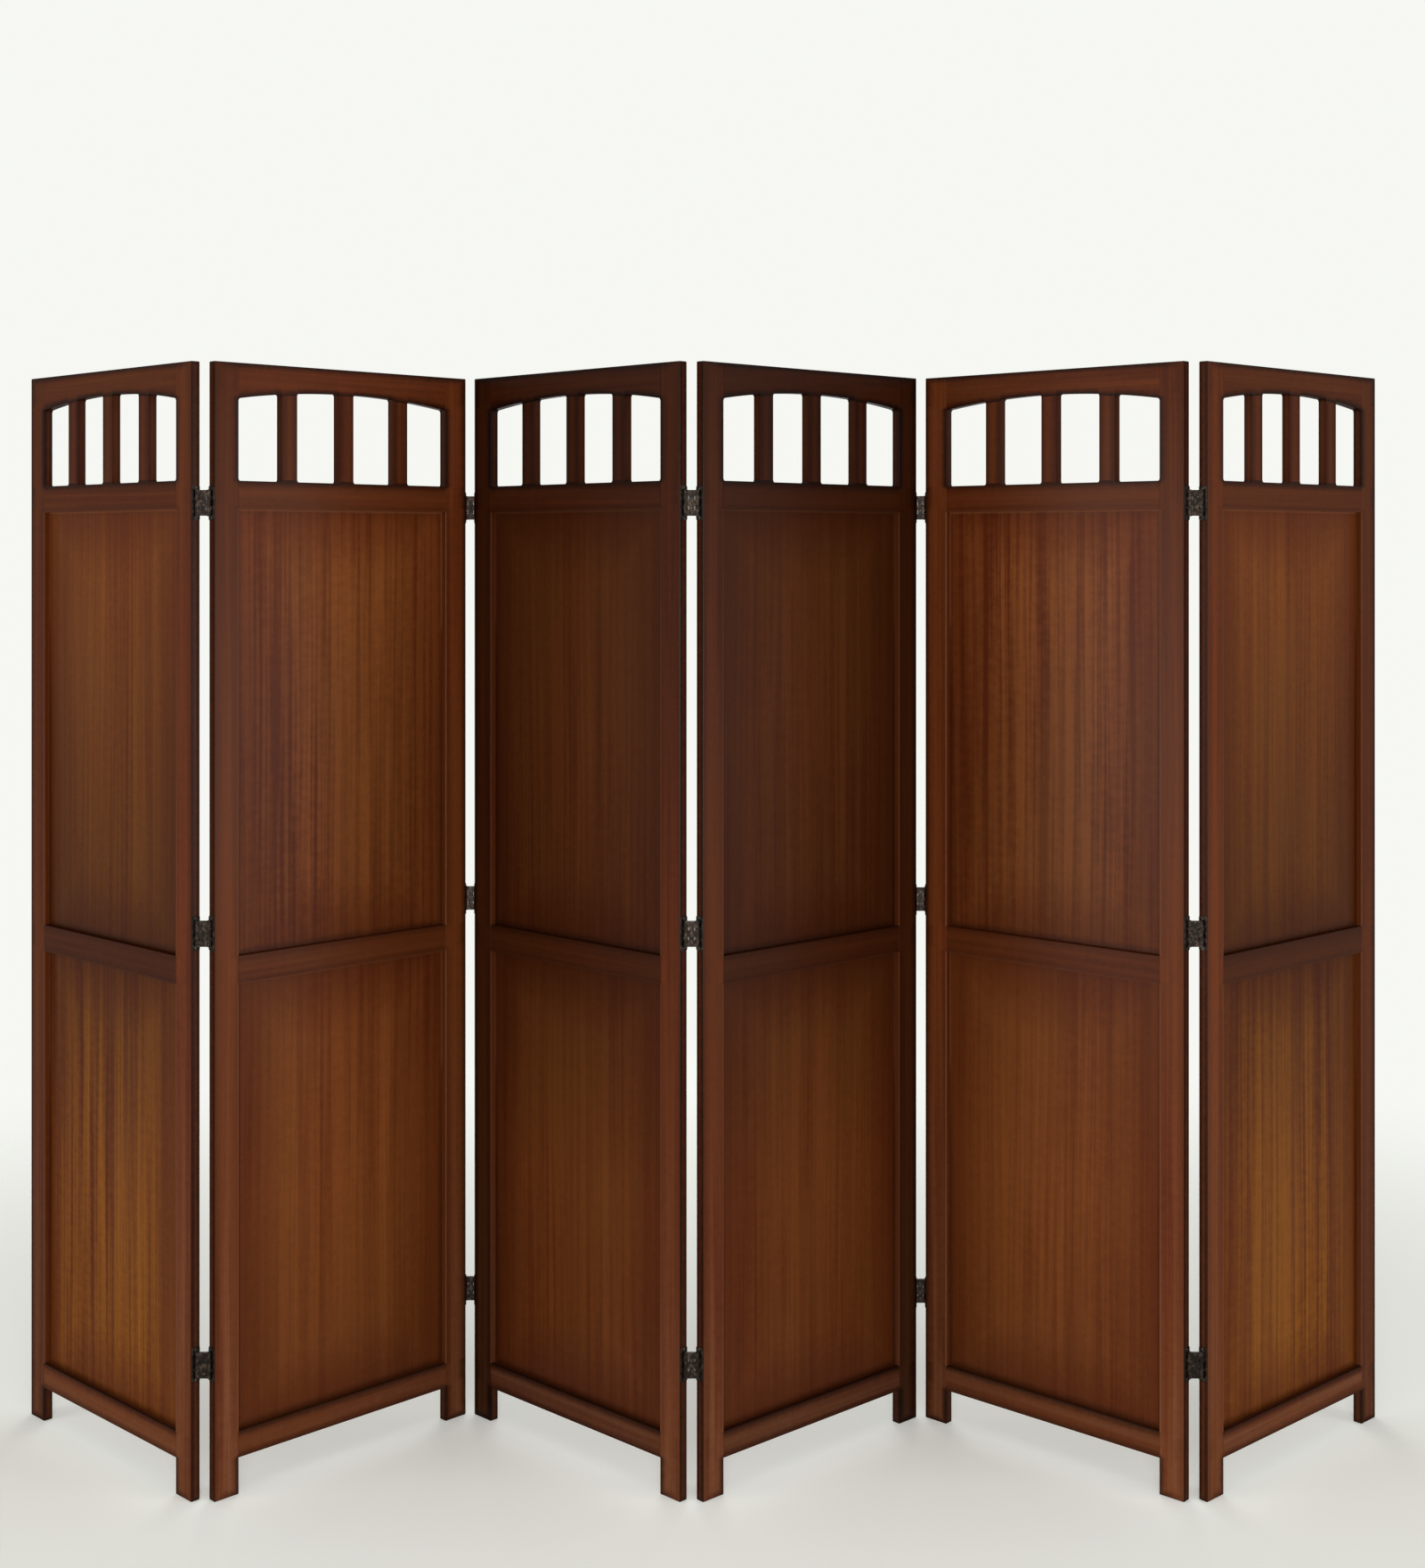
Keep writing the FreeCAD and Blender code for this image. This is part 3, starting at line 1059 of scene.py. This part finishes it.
        timber.mark(ease, burnish_and_shade, self.side_shading)
        if side is Side.RIGHT:
            timber.mirror(Matrix.Translation((-s.width / 2, 0, 0)))
        self.stand(timber, "stiles", FRAME_WOOD)

    @staticmethod
    def runs_along(edge: Edge) -> bool:
        """Tell whether an edge runs along a rail, and not across its end."""
        return abs(edge.verts[0].co.x - edge.verts[1].co.x) > SAME_PLACE

    def borders_window(self, edge: Edge) -> bool:
        """Tell whether an edge of a rail lies between the two rounded corners of one window.

        Args:
            edge: The edge.

        Returns:
            Whether it does.
        """
        first, last = sorted(vertex.co.x for vertex in edge.verts)
        inset = self.sizes.window_corner - SAME_PLACE
        spans = [(left + inset, right - inset) for left, right in self.sizes.windows]
        within = any(start < first and last < end for start, end in spans)
        return within and self.runs_along(edge)

    def rail(
        self, name: str, level: Limits, burnish_and_shade: Limits,
        windowed: bool = False, tone_and_shading: Profile | None = None,
    ) -> None:
        """Build one straight rail.

        Args:
            name: Its name.
            level: Its lower and upper edge.
            burnish_and_shade: How darkly its lower and upper edge are burnished, from 0 to 1; on
                the bottom rail's upper ledge this is partly painted shade in the recess.
            windowed: Whether the windows stand on it.
            tone_and_shading: Its tone at each height, painted light and shade included, if it isn't
                the frame's.
        """
        s = self.sizes
        timber = self.piece(name, Grain.LEVEL, tone_and_shading)
        timber.block(s.inner, s.faces, level)
        if windowed:
            timber.cut_across(0, s.window_columns())
            timber.raise_edge(level[1], lambda x: level[1] + s.corner_fill(x))
            timber.round_edges(
                s.inner_round,
                lambda edge: self.borders_window(edge) and edge.verts[0].co.z > level[0] + MM,
            )
        timber.round_edges(
            s.inner_round,
            lambda edge: self.runs_along(edge)
            and (not windowed or edge.verts[0].co.z < level[0] + SAME_PLACE),
        )
        timber.half.x += s.stile_width
        timber.mark(burnish_and_shade=lambda share, at: burnish_and_shade[0] if share.z < 0 else burnish_and_shade[1])
        self.stand(timber, name, FRAME_WOOD)

    def top_rail(self) -> None:
        """Build the top rail, with the shallow arch along its lower edge."""
        s = self.sizes
        timber = self.piece("top_rail", Grain.LEVEL)
        timber.block(s.inner, s.faces, (s.arch_spring, s.top))
        timber.cut_across(0, s.window_columns())
        timber.raise_edge(s.arch_spring, lambda x: s.arch(x) - s.corner_fill(x))
        timber.round_edges(
            s.inner_round,
            lambda edge: self.borders_window(edge) and edge.verts[0].co.z < s.top - s.outer_round,
        )
        timber.round_edges(
            s.outer_round,
            lambda edge: self.runs_along(edge) and edge.verts[0].co.z > s.top - SAME_PLACE,
        )
        timber.half.x += s.stile_width

        def ease(share: Vector, at: Vector) -> Vector:
            """Measure the height from the arch up, not from the lowest point."""
            low = s.arch(at.x)
            height = 2 * (at.z - low) / (s.top - low) - 1
            return Vector((share.x, share.y, max(height, -1.0)))

        timber.mark(ease)
        self.stand(timber, "top_rail", FRAME_WOOD)

    def slat(self, index: int) -> None:
        """Build one slat of the grille, cut to the arch at its top.

        Args:
            index: Which one it is, from 0 at the left.
        """
        s = self.sizes
        timber = self.piece(f"slat_{index + 1}", Grain.UPRIGHT)
        front, back = s.faces
        foot = s.grille_rail[1] + s.window_corner - s.slat_joint
        depth = (front + s.slat_step, back - s.slat_step)
        timber.block(s.slats[index], depth, (foot, s.arch_spring))
        timber.raise_edge(s.arch_spring, lambda x: s.arch(x) - s.window_corner + s.slat_joint)
        timber.round_edges(s.inner_round, lambda e: e.calc_length() > s.window_side_height / 2)
        timber.half.z += s.stile_width
        timber.mark(burnish_and_shade=lambda share, at: self.burnish_and_shade.slat, sides=self.side_shading)
        self.stand(timber, "slats", FRAME_WOOD)

    def board(self, name: str, level: Limits, figure: float, tones_and_shading: Levels) -> None:
        """Build one thin board, which reaches into the frame on all sides.

        Args:
            name: Its name.
            level: The lower and upper edge of its opening.
            figure: How strongly its ribbon stripes show.
            tones_and_shading: Its tone at the foot, in the middle and at the top, which is mostly
                painted light and shade.
        """
        s = self.sizes

        def tone_and_shading(height: float) -> float:
            """Read the tone at a height of the opening, or at the nearer of its ends."""
            return between(tones_and_shading, min(max((height - level[0]) / (level[1] - level[0]), 0.0), 1.0))

        timber = self.piece(name, Grain.UPRIGHT, tone_and_shading, self.gold_at)
        timber.figure = figure
        front = s.faces[0] + s.board_recess
        width, reach = (
            (low - s.board_tongue, high + s.board_tongue) for low, high in (s.inner, level)
        )
        timber.block(width, (front, front + s.board_thickness), reach)
        timber.round_edges(s.board_round, lambda edge: True, segments=2)
        bands = s.board_bands
        timber.cut_across(
            2, [(level[0] * (bands - i) + level[1] * i) / bands for i in range(1, bands)]
        )
        timber.half.x -= s.board_tongue
        timber.half.z -= s.board_tongue
        # The board's lower edge is darkened partly as dirt and partly as painted shade in the
        # recess above the bottom rail.
        low_burnish_and_shade, high_burnish_and_shade = self.burnish_and_shade.board
        timber.mark(burnish_and_shade=lambda share, at: high_burnish_and_shade if share.z > 0 else low_burnish_and_shade)
        self.stand(timber, "boards", BOARD_WOOD)

    def build(self) -> None:
        """Build every wooden piece of the panel."""
        s, look, burnish_and_shade = self.sizes, self.look, self.burnish_and_shade
        for side in Side:
            self.stile(side)
        self.rail("bottom_rail", s.bottom_rail, burnish_and_shade.bottom_rail)
        self.rail("middle_rail", s.middle_rail, burnish_and_shade.middle_rail, tone_and_shading=lambda z: look.middle_rail)
        self.rail("grille_rail", s.grille_rail, burnish_and_shade.grille_rail, windowed=True)
        self.top_rail()
        for index in range(s.slat_count):
            self.slat(index)
        names = ("lower_board", "upper_board")
        openings = ((s.bottom_rail[1], s.middle_rail[0]), (s.middle_rail[1], s.grille_rail[0]))
        for row in zip(names, openings, look.figure, look.boards):
            self.board(*row)


@dataclass
class Screen:
    """The whole screen: six panels in a zigzag and the hinges between them."""

    sizes: PanelSizes = field(default_factory=PanelSizes)
    folds: Levels = (-44.0, 44.0, -44.0, 42.0, -42.0, 42.0)
    # The left half's looks, from the end inwards; the right half is its mirror image. Their tones
    # are mostly painted light and shade.
    looks: tuple[PanelLook, ...] = (
        PanelLook(
            frame=(1.18, 0.77), gold_and_sheen_share=(0.8, 0.1), figure=(0.85, 0.5),
            boards=((1.1, 1.06, 0.72), (0.58, 0.86, 1.2)), stiles=((0.75, 1.0), (1.1, 1.2)),
        ),
        PanelLook(
            frame=(1.03, 0.8), gold_and_sheen_share=(0.0, 0.0), figure=(0.6, 1.1),
            boards=((0.84, 1.05, 0.9), (0.9, 0.98, 1.22)), stiles=((1.35, 0.85), (1.0, 1.25)),
        ),
        PanelLook(
            frame=(0.84, 0.31), gold_and_sheen_share=(0.0, 0.0), figure=(0.5, 0.5),
            boards=((0.72, 0.8, 0.5), (0.43, 0.51, 0.49)), stiles=((0.4, 0.85), (1.5, 1.3)),
        ),
    )

    def place(self, number: int) -> Matrix:
        """Return where a panel stands, next to a pin of its own.

        Args:
            number: The panel's number, from 1 at the left.

        Returns:
            From the panel's own frame to the screen's.
        """
        low = max(number - 1, 1)
        name = f"pins_{low}_{low + 1}_at_panel_{number}"
        pin = next(joint["pos_m"] for joint in frame["joints"] if joint["name"] == name)
        turn = Matrix.Rotation(math.radians(self.folds[number - 1]), 4, "Z")
        offset = self.sizes.pin_offset
        along = offset if number > 1 else -self.sizes.width - offset
        return Matrix.Translation(pin) @ turn @ Matrix.Translation((along, 0, 0))

    def dress_hinges(self, effects: Effects) -> None:
        """Give the hinges' metal its finishes.

        Args:
            effects: The shared patterns.
        """
        hinge_metal = HINGE_METAL.dress(effects)
        screw_metal = SCREW_METAL.dress(effects)
        for name, node in frame["nodes"].items():
            if name.endswith(("_hinge_leaves", "_links_and_pins", "_hinge_screws")):
                finish = screw_metal if name.endswith("_hinge_screws") else hinge_metal
                node.data.materials.clear()
                node.data.materials.append(finish)
                LOG.info("%s wears %s", name, finish.name)

    def build(self) -> None:
        """Build every panel and dress the hinges."""
        effects = Effects()
        materials = {finish: finish.dress(effects) for finish in (FRAME_WOOD, BOARD_WOOD)}
        mirrored = [replace(look, stiles=look.stiles[::-1]) for look in reversed(self.looks)]
        for number, look in enumerate([*self.looks, *mirrored], start=1):
            Panel(number, self.place(number), look, self.sizes, materials).build()
        self.dress_hinges(effects)


# Studio

@dataclass(frozen=True)
class Lamp:
    """A soft square lamp."""

    name: str
    at: Point
    aim: Point
    size: float
    watts: float

    def hang(self) -> None:
        """Hang the lamp and turn it towards what it lights."""
        data = bpy.data.lights.new(self.name, "AREA")
        data.shape = "SQUARE"
        data.size = self.size
        data.energy = self.watts
        lamp = add_object(self.name, data)
        lamp.location = self.at
        towards = Vector(self.aim) - Vector(self.at)
        lamp.rotation_euler = towards.to_track_quat("-Z", "Y").to_euler()


@dataclass
class Studio:
    """The pale floor, the soft lamps, the backdrop's light and the camera."""

    backdrop: Colour = painted(246, 247, 242)
    ambient: float = 0.31
    floor_glow: float = 0.2
    floor_radius: float = 3.3
    floor_sides: int = 96
    floor_fade: Limits = (1.5, 3.1)
    floor_roughness: float = 0.8
    floor_gloss: float = 0.2
    focal_pixels: float = 2400.0
    picture_width: float = 1600.0
    picture_height: float = 1760.0
    optical_centre: Limits = (776.6, 624.9)
    camera_at: Point = (-0.018, -3.55, 1.491)
    camera_sensor: float = 36.0
    camera_reach: float = 100.0
    lamps: tuple[Lamp, ...] = (
        Lamp("front_lamp", (0.0, -4.6, 0.9), (0.0, 0.0, 0.5), 1.6, 128.0),
        Lamp("left_lamp", (-4.5, -1.9, 0.9), (-0.8, 0.0, 0.6), 2.0, 56.0),
        Lamp("right_lamp", (4.5, -1.9, 0.9), (0.8, 0.0, 0.6), 2.0, 56.0),
        Lamp("top_lamp", (0.0, -0.6, 4.2), (0.0, 0.0, 0.0), 3.0, 30.0),
        Lamp("back_lamp", (0.0, 4.4, 1.6), (0.0, 0.0, 0.9), 2.5, 60.0),
    )

    def lay_floor(self) -> None:
        """Lay the plain pale floor, which fades into the backdrop around the screen."""
        material, web = new_material("pale_floor")
        pale = (*self.backdrop, 1.0)
        seen = web.add("LightPath").outputs["Is Camera Ray"]
        reach = web.vector("LENGTH", web.add("TexCoord").outputs["Object"])
        surface = web.add(
            "BsdfPrincipled",
            Base_Color=pale,
            Roughness=self.floor_roughness,
            Specular_IOR_Level=self.floor_gloss,
            Emission_Color=pale,
            Emission_Strength=web.maths("MULTIPLY", seen, self.floor_glow),
            Alpha=web.fade(reach, *self.floor_fade, low=1.0, high=0.0),
        )
        web.add("OutputMaterial", Surface=surface.outputs[0])
        mesh = bmesh.new()
        bmesh.ops.create_circle(
            mesh, cap_ends=True, radius=self.floor_radius, segments=self.floor_sides
        )
        data = bpy.data.meshes.new("pale_floor")
        mesh.to_mesh(data)
        mesh.free()
        data.materials.append(material)
        add_object("pale_floor", data)

    def light_world(self) -> None:
        """Fill the surroundings with soft light, and show them at full strength if seen."""
        world = bpy.data.worlds.new("pale_surroundings")
        world.use_nodes = True
        bpy.context.scene.world = world
        web = Web(world.node_tree)
        rays = web.add("LightPath").outputs
        seen = web.maths("MAXIMUM", rays["Is Camera Ray"], rays["Is Glossy Ray"])
        seen = web.maths("MAXIMUM", seen, rays["Is Transmission Ray"])
        strength = web.add("MapRange", Value=seen, To_Min=self.ambient, To_Max=1.0)
        shade = web.add("Background", Color=(*self.backdrop, 1.0), Strength=strength.outputs[0])
        web.add("OutputWorld", Surface=shade.outputs[0])

    def set_camera(self) -> None:
        """Set the level camera that sees the screen as the photograph does."""
        data = bpy.data.cameras.new("photo_camera")
        data.sensor_fit = "AUTO"
        data.sensor_width = self.camera_sensor
        longer = self.picture_height
        data.lens = data.sensor_width * self.focal_pixels / longer
        data.shift_x = (self.picture_width / 2 - self.optical_centre[0]) / longer
        data.shift_y = (self.optical_centre[1] - self.picture_height / 2) / longer
        data.clip_end = self.camera_reach
        camera = add_object("photo_camera", data)
        camera.location = self.camera_at
        camera.rotation_euler = (math.radians(90), 0, 0)
        bpy.context.scene.camera = camera

    def build(self) -> None:
        """Set everything around the screen."""
        bpy.context.scene.view_settings.view_transform = "Standard"
        self.set_camera()
        self.lay_floor()
        self.light_world()
        for lamp in self.lamps:
            lamp.hang()


def main() -> None:
    """Build the studio and the screen."""
    logging.basicConfig(level=logging.INFO, format="%(name)s: %(message)s")
    Studio().build()
    Screen().build()


if __name__ == "__main__":
    main()
